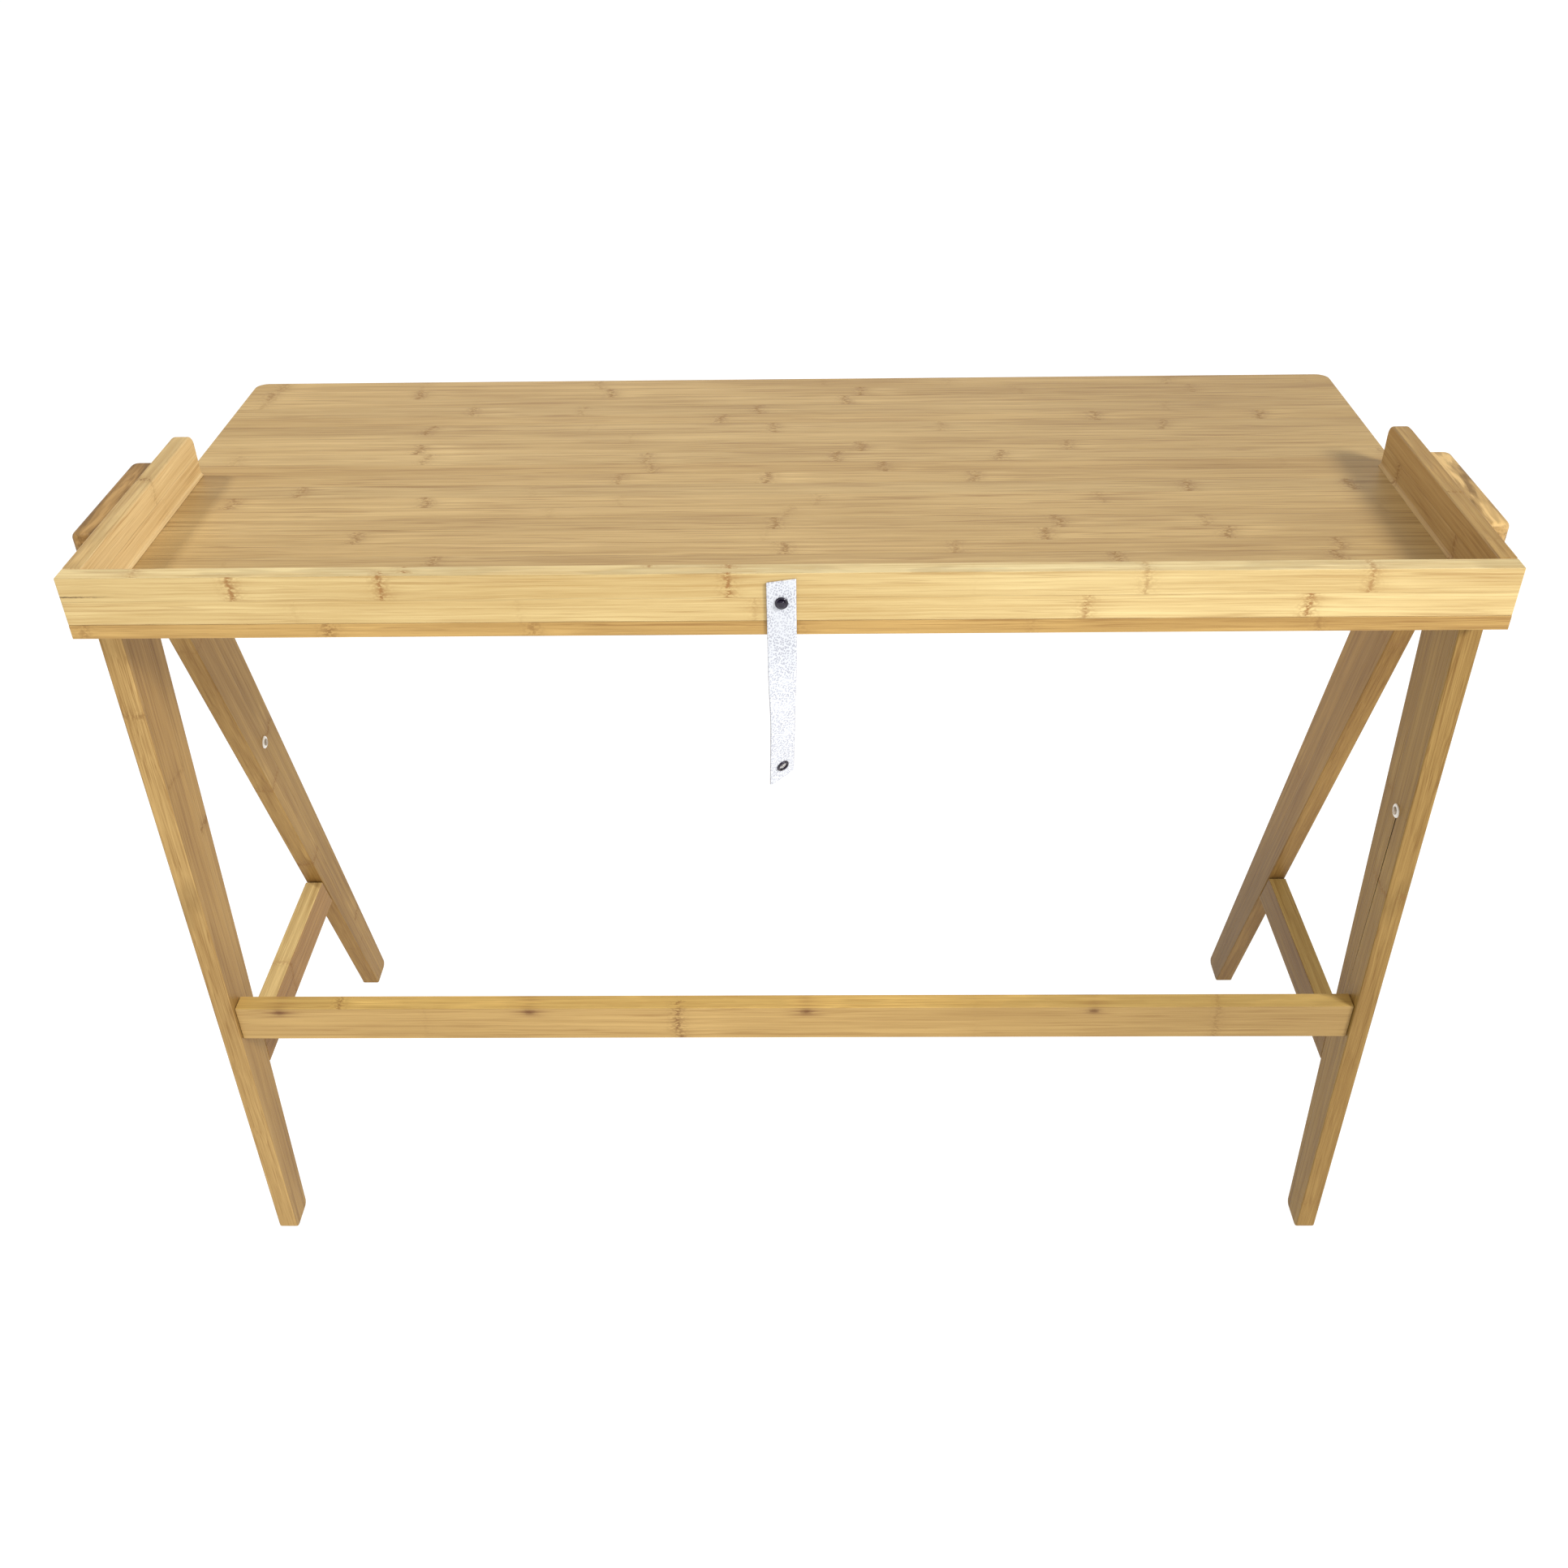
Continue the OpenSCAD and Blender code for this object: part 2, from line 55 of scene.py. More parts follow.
class Graph:
    """A material's node tree with short ways to add nodes. Numbers and sockets can be mixed freely."""

    def __init__(self, name):
        self.mat = bpy.data.materials.new(name)
        self.mat.use_nodes = True
        self.tree = self.mat.node_tree
        self.tree.nodes.clear()
        self.out = self.tree.nodes.new("ShaderNodeOutputMaterial")
        self.bsdf = self.tree.nodes.new("ShaderNodeBsdfPrincipled")
        self.tree.links.new(self.bsdf.outputs["BSDF"], self.out.inputs["Surface"])
        coords = self.tree.nodes.new("ShaderNodeTexCoord")
        self.place, self.normal = coords.outputs["Object"], coords.outputs["Normal"]

    def put(self, socket, value):
        if isinstance(value, bpy.types.NodeSocket):
            self.tree.links.new(value, socket)
        else:
            socket.default_value = value

    def surface(self, **values):
        """Sets the shader's own sockets, named with _ for a space."""
        for name, value in values.items():
            self.put(self.bsdf.inputs[name.replace("_", " ")], value)

    def math(self, op, a, b=0.0, c=0.0, clamp=False):
        n = self.tree.nodes.new("ShaderNodeMath")
        n.operation = op
        n.use_clamp = clamp
        for socket, value in zip(n.inputs, (a, b, c)):
            self.put(socket, value)
        return n.outputs[0]

    def times(self, first, *others):
        for other in others:
            first = self.math("MULTIPLY", first, other)
        return first

    def sway(self, noise, amount, base):
        """The base moved both ways by a noise that is 0.5 on average."""
        return self.math("MULTIPLY_ADD", self.math("SUBTRACT", noise, 0.5), amount, base)

    def dot(self, vector, axis):
        n = self.tree.nodes.new("ShaderNodeVectorMath")
        n.operation = "DOT_PRODUCT"
        self.put(n.inputs[0], vector)
        n.inputs[1].default_value = tuple(axis)
        return n.outputs["Value"]

    def xyz(self, x, y, z):
        n = self.tree.nodes.new("ShaderNodeCombineXYZ")
        for socket, value in zip(n.inputs, (x, y, z)):
            self.put(socket, value)
        return n.outputs[0]

    def noise(self, vector, scale=1.0, detail=2.0, rough=0.5, distortion=0.0):
        n = self.tree.nodes.new("ShaderNodeTexNoise")
        self.put(n.inputs["Vector"], vector)
        n.inputs["Scale"].default_value = scale
        n.inputs["Detail"].default_value = detail
        n.inputs["Roughness"].default_value = rough
        n.inputs["Distortion"].default_value = distortion
        return n.outputs["Fac"]

    def white(self, vector):
        """A random value that is the same wherever the vector is."""
        n = self.tree.nodes.new("ShaderNodeTexWhiteNoise")
        n.noise_dimensions = "3D"
        self.put(n.inputs["Vector"], vector)
        return n.outputs["Value"]

    def dots(self, vector, randomness):
        """Distance to the nearest of many points, about one in each unit square."""
        n = self.tree.nodes.new("ShaderNodeTexVoronoi")
        n.voronoi_dimensions = "2D"
        self.put(n.inputs["Vector"], vector)
        n.inputs["Scale"].default_value = 1.0
        n.inputs["Randomness"].default_value = randomness
        return n.outputs["Distance"]

    def ramp(self, fac, stops):
        n = self.tree.nodes.new("ShaderNodeValToRGB")
        while len(n.color_ramp.elements) < len(stops):
            n.color_ramp.elements.new(0.5)
        for element, (position, colour) in zip(n.color_ramp.elements, stops):
            element.position = position
            element.color = (*colour, 1.0)
        self.put(n.inputs["Fac"], fac)
        return n.outputs["Color"]

    def span(self, value, low, high):
        """0 at low, 1 at high, smooth between and level beyond. Low may be the larger of the two."""
        n = self.tree.nodes.new("ShaderNodeMapRange")
        n.interpolation_type = "SMOOTHSTEP"
        self.put(n.inputs["Value"], value)
        n.inputs["From Min"].default_value = low
        n.inputs["From Max"].default_value = high
        return n.outputs["Result"]

    def bell(self, distance, width):
        """1 at no distance, falling off like a bell curve."""
        ratio = self.math("DIVIDE", distance, width)
        return self.math("EXPONENT", self.times(ratio, ratio, -1.0))

    def facing(self, axis, low, high):
        """1 on the faces across an axis, on either side of the board."""
        return self.span(self.math("ABSOLUTE", self.dot(self.normal, axis)), low, high)

    def mix(self, fac, a, b, blend="MIX"):
        n = self.tree.nodes.new("ShaderNodeMix")
        n.data_type = "RGBA"
        n.blend_type = blend
        self.put(n.inputs["Factor"], fac)
        for socket, value in zip((n.inputs[6], n.inputs[7]), (a, b)):
            self.put(socket, (*value, 1.0) if isinstance(value, tuple) else value)
        return n.outputs[2]

    def bump(self, height, strength, distance):
        n = self.tree.nodes.new("ShaderNodeBump")
        n.inputs["Strength"].default_value = strength
        n.inputs["Distance"].default_value = distance
        self.put(n.inputs["Height"], height)
        self.tree.links.new(n.outputs["Normal"], self.bsdf.inputs["Normal"])


def toned(colour, tone):
    return tuple(c * t for c, t in zip(colour, tone))


# ---------------------------------------------------------------- bamboo

SLOW_WAVE, QUICK_WAVE = 0.0030, 0.0022  # how far the glued joints wander
RAGGED = 0.006  # how far the dashes of a ring stray along the fibres
RING_WIDTH, FUZZ_WIDTH = 0.0019, 0.0068
STAIN_FADE = 90.0  # per metre beyond the ring
HALO_SHIFT, HALO_WIDTH = 0.020, 0.016
KNOT_EYE, KNOT_TAIL = (0.0050, 0.0030), (0.014, 0.0056)  # along and across the fibres
KNOT_STRAY = 0.05
KNOT_BROWN, KNOT_DARK = (0.28, 0.135, 0.045), (0.17, 0.065, 0.02)
CRACK_WIDTH = 0.00045
CRACK_DARK = (0.06, 0.03, 0.012)
STREAK_TONE, HAIR_TONE, GLUE_TONE = (0.74, 0.62, 0.5), (0.70, 0.56, 0.42), (0.55, 0.55, 0.55)
PALER_HUE = (1.0, 0.95, 0.86)


def bamboo(
    name,
    grain,
    across,
    light,
    dark,
    brown=(0.30, 0.155, 0.05),
    strip=0.02,
    offset=0.0,
    node_gap=0.16,
    node_share=0.6,
    node_depth=0.5,
    node_lean=0.012,
    node_core=0.9,
    node_stain=0.7,
    gloss=0.36,
    streaks=0.42,
    halo_gain=0.35,
    knots=None,
    mottle=0.0,
    edge_tint=None,
    top_light_and_shade=None,
    side_shade=None,
    shade=None,
    crack=None,
    seed=0.0,
):
    """Laminated bamboo. grain is the direction of the fibres, across the direction in which the glued strips,
    each strip wide, lie side by side. Each strip has its own tone and its own growth rings, node_gap apart,
    and only node_share of them clear. knots is their gap, shift and height, shade an axis with start, end and
    tint, and crack a start, end, height and depth. The tints for faces that look up and for faces that look
    along X paint light and shade onto the board."""
    g = Graph(name)
    grain, across = Vector(grain).normalized(), Vector(across).normalized()
    u, v, w = g.dot(g.place, grain), g.dot(g.place, across), g.dot(g.place, grain.cross(across))

    def fibres(along, crosswise, at=v, shift=None, **shape):
        """Noise drawn out along the fibres, with its rates per metre along and across them."""
        depth = g.times(w, crosswise)
        if shift is not None:
            depth = g.math("ADD", depth, shift)
        return g.noise(g.xyz(g.times(u, along), g.times(at, crosswise), depth), **shape)

    # glued strips with slightly wavy joints
    slow = g.noise(g.xyz(g.times(u, 3.0), g.times(v, 30.0), seed))
    v_wavy = g.sway(fibres(17.0, 90.0), QUICK_WAVE, g.sway(slow, SLOW_WAVE, v))
    lane = g.math("ADD", g.math("DIVIDE", v_wavy, strip), offset)
    lane_no, lane_part = g.math("FLOOR", lane), g.math("FRACT", lane)
    lane_rnd = g.white(g.xyz(lane_no, seed, 3.1))

    # growth nodes of the culm: a row of brown dashes, fuzz around it, and fibres stained beyond it
    cell = g.math("ADD", g.math("DIVIDE", u, node_gap), g.times(lane_rnd, 7.0))
    cell_no, cell_part = g.math("FLOOR", cell), g.math("FRACT", cell)
    node_rnd = g.white(g.xyz(lane_no, cell_no, seed + 0.7))
    node_spot = g.white(g.xyz(cell_no, lane_no, seed + 5.3))
    lean = fibres(6.0, 60.0, shift=seed)
    thread = fibres(9.0, 430.0, at=v_wavy, detail=3.0, rough=0.6)
    dash = fibres(330.0, 560.0, rough=0.6)
    spot = g.math("MULTIPLY_ADD", node_spot, 0.5, 0.25)
    gap = g.sway(lean, node_lean, g.times(g.math("SUBTRACT", cell_part, spot), node_gap))
    clear = g.math("MULTIPLY", g.span(node_rnd, 1.0 - node_share, 1.0), 1.3, clamp=True)
    ring = g.times(g.bell(g.sway(thread, RAGGED, gap), RING_WIDTH), g.span(dash, 0.38, 0.52), clear)
    fuzz = g.times(g.bell(gap, FUZZ_WIDTH), g.span(dash, 0.42, 0.58), clear)
    beyond = g.times(g.span(gap, -0.001, 0.002), g.math("EXPONENT", g.times(gap, -STAIN_FADE)))
    stain = g.times(beyond, g.span(thread, 0.50, 0.64), clear)
    halo = g.times(g.bell(g.math("ADD", gap, -HALO_SHIFT), HALO_WIDTH), g.span(thread, 0.52, 0.42), clear)

    # fibres, from hair-fine to broad, and the tone that they give
    fine = fibres(9.0, 1100.0, at=v_wavy, detail=3.0, rough=0.6)
    broad = fibres(4.2, 250.0, at=v_wavy, detail=6.0, rough=0.72, distortion=0.2)
    patch = fibres(4.5, 24.0)
    streak = fibres(7.0, 480.0, at=v_wavy, shift=seed, detail=4.0, rough=0.68)
    hair = fibres(3.5, 270.0, at=v_wavy, shift=seed + 4.0)
    broken = g.noise(g.xyz(g.times(u, 12.0), g.times(v, 110.0), g.math("ADD", w, seed)))
    hair_off = g.math("ABSOLUTE", g.math("SUBTRACT", hair, 0.5))
    hairline = g.times(g.math("SUBTRACT", 1.0, g.span(hair_off, 0.0, 0.040)), g.span(broken, 0.40, 0.60))
    level = 0.5
    for part, amount in ((fine, 0.95), (broad, 1.9), (patch, 0.9), (lane_rnd, 0.22)):
        level = g.sway(part, amount, level)
    level = g.math("MULTIPLY_ADD", halo, halo_gain, level)
    middle = tuple((a + b) / 2 for a, b in zip(light, dark))
    colour = g.ramp(level, [(0.0, dark), (0.5, middle), (1.0, light)])
    colour = g.mix(g.times(g.white(g.xyz(seed, lane_no, 9.4)), 0.7), colour, PALER_HUE, "MULTIPLY")

    # darker streaks, glue lines and node marks
    glue = g.span(g.math("ABSOLUTE", g.math("SUBTRACT", lane_part, 0.5)), 0.478, 0.497)
    half_brown = tuple(0.4 * a + 0.6 * b for a, b in zip(dark, brown))
    for mark, strength, tone in (
        (g.span(streak, 0.54, 0.68), streaks, toned(dark, STREAK_TONE)),
        (glue, 0.26, toned(dark, GLUE_TONE)),
        (hairline, streaks * 1.1, toned(dark, HAIR_TONE)),
        (stain, node_depth * node_stain, half_brown),
        (fuzz, node_depth * 0.75, half_brown),
        (ring, node_depth * node_core, brown),
    ):
        colour = g.mix(g.times(mark, strength), colour, tone)

    if knots is not None:
        knot_gap, knot_shift, knot_height = knots
        place = g.math("DIVIDE", g.math("ADD", u, knot_shift), knot_gap)
        along = g.times(g.math("SUBTRACT", g.math("FRACT", place), 0.5), knot_gap)
        along = g.sway(g.white(g.xyz(g.math("FLOOR", place), seed, 0.3)), KNOT_STRAY, along)
        rise = g.math("SUBTRACT", v, knot_height)
        eye = g.times(g.bell(g.sway(dash, RAGGED, along), KNOT_EYE[0]), g.bell(rise, KNOT_EYE[1]))
        tail = g.times(g.bell(along, KNOT_TAIL[0]), g.bell(rise, KNOT_TAIL[1]), g.span(thread, 0.40, 0.58))
        colour = g.mix(g.times(tail, 0.85), colour, KNOT_BROWN)
        colour = g.mix(g.times(eye, 0.8), colour, KNOT_DARK)
    if mottle:
        blot = fibres(15.0, 85.0, detail=3.0, rough=0.6, distortion=0.6)
        colour = g.mix(g.times(g.span(blot, 0.47, 0.60), mottle), colour, brown)
        colour = g.mix(g.times(g.span(blot, 0.46, 0.34), mottle), colour, tuple(1.3 * c for c in light))
    # painted light and shade: the faces that look up are tinted lighter or darker as the light falls on them
    if top_light_and_shade is not None:
        colour = g.mix(g.span(g.dot(g.normal, Z), 0.4, 0.9), colour, top_light_and_shade, "MULTIPLY")
    if edge_tint is not None:
        colour = g.mix(g.facing(Z, 0.75, 0.35), colour, edge_tint, "MULTIPLY")
    # painted shade: the faces that look along X are tinted darker
    if side_shade is not None:
        colour = g.mix(g.facing(X, 0.5, 0.9), colour, side_shade, "MULTIPLY")
    if shade is not None:
        axis, start, end, tint = shade
        colour = g.mix(g.span(g.dot(g.place, axis), start, end), colour, tint, "MULTIPLY")
    if crack is not None:
        start, end, height, depth = crack
        rise = g.sway(dash, 0.0012, g.dot(g.place, Z))
        thin = g.bell(g.math("ADD", rise, -height), CRACK_WIDTH)
        colour = g.mix(g.times(thin, g.span(g.dot(g.place, X), end, start), depth), colour, CRACK_DARK)

    rough = g.sway(fine, 0.22, 0.47)
    rough = g.math("MULTIPLY_ADD", ring, 0.12, rough)
    g.surface(Base_Color=colour, Roughness=rough, Specular_IOR_Level=gloss)
    height = g.math("MULTIPLY_ADD", broad, 0.5, fine)
    height = g.math("MULTIPLY_ADD", glue, -1.1, height)
    height = g.math("MULTIPLY_ADD", ring, -0.7, height)
    g.bump(height, 0.35, 0.0004)
    return g.mat


# ---------------------------------------------------------------- other materials


def dowel_wood():
    g = Graph("dowel_beech")
    flecks = g.noise(g.place, scale=900.0, detail=3.0)
    level = g.sway(flecks, 0.8, g.noise(g.place, scale=60.0))
    g.surface(Base_Color=g.ramp(level, [(0.2, (0.50, 0.33, 0.17)), (0.8, (0.72, 0.52, 0.30))]), Roughness=0.7)
    g.bump(flecks, 0.2, 0.0003)
    return g.mat


def metal(name, colour, dull, roughness, coat=0.0, metallic=1.0):
    """Turned or stamped metal with faint scratches and slightly uneven polish."""
    g = Graph(name)
    haze = g.noise(g.place, scale=320.0, detail=3.0)
    rates = (1500.0, 1500.0, 90.0)
    hair = g.noise(g.xyz(*(g.dot(g.place, Vector(axis) * rate) for axis, rate in zip((X, Y, Z), rates))))
    g.surface(
        Base_Color=g.ramp(haze, [(0.3, dull), (0.7, colour)]),
        Roughness=g.sway(hair, 0.25, roughness),
        Metallic=metallic,
        Coat_Weight=coat,
        Coat_Roughness=0.12,
    )
    g.bump(hair, 0.08, 0.0001)
    return g.mat


def rubber():
    g = Graph("pad_rubber")
    grit = g.noise(g.place, scale=1600.0, detail=3.0)
    black, grey = (0.012, 0.012, 0.013), (0.035, 0.034, 0.033)
    g.surface(Base_Color=g.ramp(grit, [(0.3, black), (0.7, grey)]), Roughness=0.85)
    g.bump(grit, 0.4, 0.0002)
    return g.mat


def cream_plastic():
    g = Graph("washer_cream")
    cloud = g.noise(g.place, scale=420.0, detail=3.0)
    darker, paler = (0.84, 0.82, 0.76), (0.93, 0.92, 0.88)
    colour = g.ramp(cloud, [(0.3, darker), (0.7, paler)])
    g.surface(Base_Color=colour, Roughness=g.math("MULTIPLY_ADD", cloud, 0.2, 0.3))
    g.bump(cloud, 0.1, 0.0001)
    return g.mat


DENT_SLANT = (0.42, 0.0, 0.91)  # direction in which the strap's dents are drawn out
DENT_CROSS = (0.91, 0.0, -0.42)
DENT_RATES = 660.0, 500.0  # dents per metre, across and along the slant
STRAP_TONE, DENT_SHADE = (0.80, 0.82, 0.86), (0.50, 0.51, 0.58)
SOIL_TONE, CUT_TONE = (0.74, 0.72, 0.74), (0.36, 0.34, 0.38)


def strap_leather():
    """White coated leather: a close print of small slanting dents darkened with painted shade, a soft haze,
    and a greyer cut edge.
    """
    g = Graph("strap_white")
    drift = g.noise(g.place, scale=240.0)
    cross, slant = g.dot(g.place, DENT_CROSS), g.dot(g.place, DENT_SLANT)
    print_at = g.xyz(
        g.math("MULTIPLY_ADD", drift, 0.9, g.times(cross, DENT_RATES[0])),
        g.math("MULTIPLY_ADD", drift, 0.7, g.times(slant, DENT_RATES[1])),
        0.0,
    )
    pores = g.noise(g.place, scale=2600.0)
    soil = g.noise(g.place, scale=85.0, detail=3.0)
    dent = g.times(g.span(g.dots(print_at, 0.8), 0.46, 0.16), g.span(soil, 0.1, 0.6))
    # painted shade: the dents are darkened towards a grey lavender
    colour = g.ramp(dent, [(0.0, STRAP_TONE), (1.0, DENT_SHADE)])
    colour = g.mix(g.times(g.span(soil, 0.5, 0.8), 0.10), colour, SOIL_TONE)
    colour = g.mix(g.times(g.facing(X, 0.62, 0.80), 0.8), colour, CUT_TONE)
    g.surface(
        Base_Color=colour,
        Roughness=g.math("MULTIPLY_ADD", dent, 0.18, 0.45),
        Specular_IOR_Level=0.4,
        Sheen_Weight=0.10,
    )
    g.bump(g.math("MULTIPLY_ADD", pores, 0.2, g.times(dent, -1.0)), 0.5, 0.0004)
    return g.mat


# ---------------------------------------------------------------- the table's materials

BACK_LEAN, FRONT_LEAN = 0.0331, -0.3557  # run in Y of the legs' middle lines per metre of height
BACK, BACK_ACROSS = (0.0, BACK_LEAN, 1.0), (0.0, 1.0, -BACK_LEAN)
FRONT, FRONT_ACROSS = (0.0, FRONT_LEAN, 1.0), (0.0, 1.0, -FRONT_LEAN)
RIM_STRIP, RIM_OFFSET = 0.0185, -0.2973  # two strips make up the height of the rim and of the rails

# Painted shade darkens the tabletop towards the right.
top = bamboo(
    "bamboo_top", X, Y, (0.68, 0.482, 0.212), (0.40, 0.248, 0.088), strip=0.0208, node_gap=0.165,
    node_share=0.8, node_depth=1.0, node_core=0.4, node_stain=0.55, node_lean=0.020,
    edge_tint=(1.04, 0.95, 0.73), shade=(X, 0.05, 0.45, (0.90, 0.885, 0.85)), streaks=0.5, seed=2.0,
)  # fmt: skip
# The rim's upward faces carry a painted highlight, tinted lighter and bluer.
rim = bamboo(
    "bamboo_rim", X, Z, (0.88, 0.69, 0.325), (0.58, 0.38, 0.135), strip=RIM_STRIP, offset=RIM_OFFSET,
    node_gap=0.17, node_share=1.0, node_depth=0.85, node_stain=0.9, node_lean=0.006, halo_gain=0.25,
    streaks=0.36, brown=(0.36, 0.16, 0.04), top_light_and_shade=(1.05, 1.13, 1.30), crack=(-0.5, -0.452, 0.7123, 0.9),
    seed=7.0,
)  # fmt: skip
# Painted light on the crossbar's top faces, and painted shade darkening it towards the right.
bar = bamboo(
    "bamboo_bar", X, Z, (0.66, 0.435, 0.16), (0.44, 0.265, 0.085), strip=0.036, offset=-0.03, node_gap=0.24,
    node_share=1.0, node_depth=1.0, streaks=0.36, knots=(0.243, 0.085, 0.2845), top_light_and_shade=(1.46, 1.6, 1.52),
    gloss=0.25, shade=(X, 0.02, 0.42, (0.76, 0.755, 0.75)), seed=23.0,
)  # fmt: skip

RAIL_LIGHT, RAIL_DARK = (0.90, 0.69, 0.36), (0.64, 0.42, 0.17)
GRIP_LIGHT, GRIP_DARK = (0.68, 0.46, 0.205), (0.40, 0.25, 0.105)
STAND_LIGHT, STAND_DARK = (0.52, 0.33, 0.112), (0.29, 0.16, 0.045)
# Painted light and shade: each side's boards, and their tops and sides, are tinted lighter or darker to stand
# for how the light falls on them.
STAND_SIDE_SHADE = {"left": (1.0, 1.0, 1.0), "right": (0.82, 0.78, 0.70)}
RAIL_SIDE_SHADE = {"left": (1.0, 1.0, 1.0), "right": (0.58, 0.50, 0.39)}
RAIL_TOP_LIGHT_AND_SHADE = {"left": (0.81, 0.77, 0.66), "right": (1.03, 1.01, 0.84)}
GRIP_SIDE_SHADE = {"left": (0.62, 0.55, 0.45), "right": (0.98, 0.98, 0.92)}
NEAR_LEG_LIGHT_AND_SHADE = {"left": (1.24, 1.29, 1.48), "right": (0.84, 0.82, 0.77)}
NEAR_LEG_SIDE_SHADE = {"left": (0.67, 0.64, 0.55), "right": (0.87, 0.88, 0.75)}
FAR_LEG_SIDE_SHADE = (0.96, 0.98, 0.95)
FAR_LEG_FOOT_SHADE = {"left": (0.82, 0.77, 0.66), "right": (0.62, 0.60, 0.58)}
FEET_FROM, FEET_TO = 0.40, 0.14  # heights between which painted shade darkens the far legs
BRACE_TOP_LIGHT = {"left": (1.6, 1.9, 2.5), "right": (1.0, 1.17, 1.40)}
BRACE_SIDE_SHADE = {"left": (0.71, 0.62, 0.55), "right": (0.61, 0.59, 0.52)}
# Each side gets its own copy of every board's material, lit or shaded by the tints above: painted light and
# shade.
sided = {}
for number, (side, tone) in enumerate(STAND_SIDE_SHADE.items()):
    rail_pair = toned(RAIL_LIGHT, RAIL_SIDE_SHADE[side]), toned(RAIL_DARK, RAIL_SIDE_SHADE[side])
    grip_pair = toned(GRIP_LIGHT, GRIP_SIDE_SHADE[side]), toned(GRIP_DARK, GRIP_SIDE_SHADE[side])
    stand_pair = toned(STAND_LIGHT, tone), toned(STAND_DARK, tone)
    near_pair = toned(STAND_LIGHT, NEAR_LEG_LIGHT_AND_SHADE[side]), toned(STAND_DARK, NEAR_LEG_LIGHT_AND_SHADE[side])
    sided[side] = {
        "rail": bamboo(
            f"bamboo_rail_{side}", Y, Z, *rail_pair, strip=RIM_STRIP, offset=RIM_OFFSET, node_gap=0.12,
            node_share=0.8, node_depth=0.75, top_light_and_shade=RAIL_TOP_LIGHT_AND_SHADE[side], seed=11.0 + number,
        ),
        "grip": bamboo(
            f"bamboo_grip_{side}", Y, Z, *grip_pair, brown=(0.20, 0.11, 0.04), strip=0.011, node_gap=0.09,
            node_share=0.8, node_depth=0.6, mottle=0.75, gloss=0.12, seed=17.0 + number,
        ),
        "back_leg": bamboo(
            f"bamboo_back_leg_{side}", BACK, BACK_ACROSS, *near_pair, strip=0.034, offset=0.1, node_gap=0.2,
            node_share=0.7, node_depth=0.75, gloss=0.12, side_shade=NEAR_LEG_SIDE_SHADE[side], seed=29.0 + number,
        ),
        "front_leg": bamboo(
            f"bamboo_front_leg_{side}", FRONT, FRONT_ACROSS, *stand_pair, strip=0.04, offset=0.2,
            node_gap=0.17, node_share=0.8, node_depth=0.75, gloss=0.12, side_shade=FAR_LEG_SIDE_SHADE,
            shade=(Z, FEET_FROM, FEET_TO, FAR_LEG_FOOT_SHADE[side]), seed=41.0 + number,
        ),
        "brace": bamboo(
            f"bamboo_brace_{side}", Y, Z, *stand_pair, strip=0.045, offset=0.4, node_gap=0.16, node_share=0.6,
            node_depth=0.5, gloss=0.12, top_light_and_shade=BRACE_TOP_LIGHT[side], side_shade=BRACE_SIDE_SHADE[side],
            seed=53.0 + number,
        ),
        "short": bamboo(
            f"bamboo_short_{side}", Y, Z, *stand_pair, strip=0.045, offset=0.4, node_gap=0.16, node_share=0.6,
            node_depth=0.5, gloss=0.12, seed=59.0 + number,
        ),
    }  # fmt: skip
beech = dowel_wood()
steel = metal("hinge_steel", (0.62, 0.62, 0.64), (0.44, 0.44, 0.46), 0.32)
black = metal("snap_black", (0.026, 0.016, 0.042), (0.006, 0.005, 0.010), 0.22, coat=0.35, metallic=0.2)
nickel = metal("snap_nickel", (0.72, 0.71, 0.70), (0.52, 0.51, 0.50), 0.25)
screw = metal("screw_dark", (0.50, 0.42, 0.33), (0.30, 0.25, 0.19), 0.45)
cream = cream_plastic()
pad = rubber()
white = strap_leather()

FINISH = {
    top: ["tabletop_panel"],
    rim: ["back_rim"],
    bar: ["crossbar"],
    beech: ["rim_corner_dowels", "grip_dowels", "right_frame_dowels", "left_frame_dowels"],
    steel: [
        "rim_screws", "cleat_screws", "bar_leaf_screws", "right_rail_screws", "left_rail_screws",
        "right_leaf_screws", "left_leaf_screws", "right_bar_leaf", "left_bar_leaf", "right_leg_leaf",
        "left_leg_leaf", "right_hinge_pin", "left_hinge_pin",
    ],
    black: ["snap_stud", "snap_socket"],
    nickel: ["snap_cap"],
    screw: ["right_button_screw", "left_button_screw"],
    cream: ["right_button_washer", "left_button_washer"],
    pad: ["right_rest_pads", "left_rest_pads"],
}  # fmt: skip
BOARDS = {
    "rail": ["side_rail"],
    "grip": ["grip_bar"],
    "back_leg": ["back_leg"],
    "front_leg": ["front_leg"],
    "brace": ["brace"],
    "short": ["top_rail", "corner_cleat", "stop_block"],
}
for side, set_of in sided.items():
    for kind, names in BOARDS.items():
        FINISH[set_of[kind]] = [f"{side}_{name}" for name in names]

# Widths of the boards' eased edges
EASED = {"tabletop_panel": 0.0004, "back_rim": 0.0007, "crossbar": 0.0007}
SIDE_EASED = {
    "side_rail": 0.0014, "back_leg": 0.0011, "front_leg": 0.0011, "brace": 0.0006, "top_rail": 0.0008,
    "corner_cleat": 0.0008, "stop_block": 0.0008,
}  # fmt: skip
for side in STAND_SIDE_SHADE:
    EASED.update({f"{side}_{name}": width for name, width in SIDE_EASED.items()})


